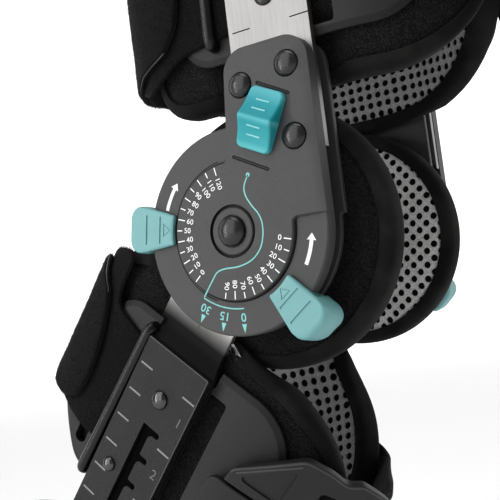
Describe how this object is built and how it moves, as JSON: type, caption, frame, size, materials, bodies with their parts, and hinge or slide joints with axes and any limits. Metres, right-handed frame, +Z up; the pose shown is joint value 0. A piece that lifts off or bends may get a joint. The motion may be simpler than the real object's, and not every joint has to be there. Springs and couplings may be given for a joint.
{
  "type": "post-op knee brace",
  "caption": "Hinged post-operative knee brace for one leg, with padded cuffs, side struts and dial hinges whose stops and lock limit how far the knee bends.",
  "frame": {"origin": "on the hinge axis, midway between the lateral and the medial hinge", "axes": "+X forward, +Y to the medial side along the hinge axis, +Z up along the thigh struts"},
  "size_m": [0.346, 0.1442, 0.5511],
  "materials": {
    "housing": "fine grained dark grey moulding",
    "rivet": "gloss black domed heads",
    "tab": "light teal moulding",
    "lock": "strong teal moulding",
    "strut": "brushed along its length",
    "sleeve": "satin black with raised marks",
    "plate": "satin dark grey moulding",
    "buckle": "satin dark grey moulding",
    "bar": "satin black round bar",
    "pad_cloth": "black knit over foam, dotted grey lining towards the leg",
    "strap_pile": "black brushed pile",
    "webbing": "black woven strap"
  },
  "bodies": {
    "thigh": {"lateral_condyle_pad": "pad_cloth", "lateral_hinge_back": "housing", "lateral_hinge_cover": "housing", "lateral_lower_front_rivet": "rivet", "lateral_pivot_rivet": "rivet", "lateral_stop_ring": "housing", "lateral_strut_rivet": "rivet", "lateral_thigh_lower_bar": "bar", "lateral_thigh_lower_pad": "pad_cloth", "lateral_thigh_lower_plate": "plate", "lateral_thigh_upper_pad": "pad_cloth", "lateral_thigh_upper_plate": "plate", "lateral_upper_back_rivet": "rivet", "lateral_upper_front_rivet": "rivet", "lateral_upper_strut": "strut", "medial_condyle_pad": "pad_cloth", "medial_hinge_back": "housing", "medial_hinge_cover": "housing", "medial_lower_front_rivet": "rivet", "medial_pivot_rivet": "rivet", "medial_stop_ring": "housing", "medial_strut_rivet": "rivet", "medial_thigh_lower_bar": "bar", "medial_thigh_lower_pad": "pad_cloth", "medial_thigh_lower_plate": "plate", "medial_thigh_upper_pad": "pad_cloth", "medial_thigh_upper_plate": "plate", "medial_upper_back_rivet": "rivet", "medial_upper_front_rivet": "rivet", "medial_upper_strut": "strut", "thigh_lower_buckle": "buckle", "thigh_lower_front_strap": "webbing", "thigh_lower_rear_strap": "strap_pile", "thigh_upper_strap": "webbing"},
    "shank_struts": {"lateral_lower_strut": "strut", "medial_lower_strut": "strut"},
    "calf": {"calf_lower_strap": "webbing", "calf_upper_buckle": "buckle", "calf_upper_front_strap": "webbing", "calf_upper_rear_strap": "strap_pile", "lateral_calf_lower_pad": "pad_cloth", "lateral_calf_lower_plate": "plate", "lateral_calf_sleeve": "sleeve", "lateral_calf_upper_bar": "bar", "lateral_calf_upper_pad": "pad_cloth", "lateral_calf_upper_plate": "plate", "medial_calf_lower_pad": "pad_cloth", "medial_calf_lower_plate": "plate", "medial_calf_sleeve": "sleeve", "medial_calf_upper_bar": "bar", "medial_calf_upper_pad": "pad_cloth", "medial_calf_upper_plate": "plate"},
    "lateral_flexion_stop": {"lateral_flexion_stop": "tab"},
    "lateral_extension_stop": {"lateral_extension_stop": "tab"},
    "lateral_lock": {"lateral_lock_slider": "lock"},
    "medial_flexion_stop": {"medial_flexion_stop": "tab"},
    "medial_extension_stop": {"medial_extension_stop": "tab"},
    "medial_lock": {"medial_lock_slider": "lock"}
  },
  "joints": [
    {"name": "knee_flexion", "type": "hinge", "parent": "thigh", "child": "shank_struts", "pos_m": [0, 0, 0], "axis": [0, 1, 0], "range_deg": [-38, 52]},
    {"name": "calf_length", "type": "slide", "parent": "shank_struts", "child": "calf", "axis": [-0.6157, 0, -0.788], "range_m": [0, 0.0508]},
    {"name": "lateral_flexion_stop", "type": "hinge", "parent": "thigh", "child": "lateral_flexion_stop", "pos_m": [0, -0.0633, 0], "axis": [0, 1, 0], "range_deg": [-50, 70]},
    {"name": "lateral_extension_stop", "type": "hinge", "parent": "thigh", "child": "lateral_extension_stop", "pos_m": [0, -0.0633, 0], "axis": [0, 1, 0], "range_deg": [-37, 53]},
    {"name": "lateral_lock", "type": "slide", "parent": "thigh", "child": "lateral_lock", "axis": [0.4384, 0, 0.8988], "range_m": [-0.0045, 0]},
    {"name": "medial_flexion_stop", "type": "hinge", "parent": "thigh", "child": "medial_flexion_stop", "pos_m": [0, 0.0633, 0], "axis": [0, 1, 0], "range_deg": [-50, 70]},
    {"name": "medial_extension_stop", "type": "hinge", "parent": "thigh", "child": "medial_extension_stop", "pos_m": [0, 0.0633, 0], "axis": [0, 1, 0], "range_deg": [-37, 53]},
    {"name": "medial_lock", "type": "slide", "parent": "thigh", "child": "medial_lock", "axis": [0.4384, 0, 0.8988], "range_m": [-0.0045, 0]}
  ]
}
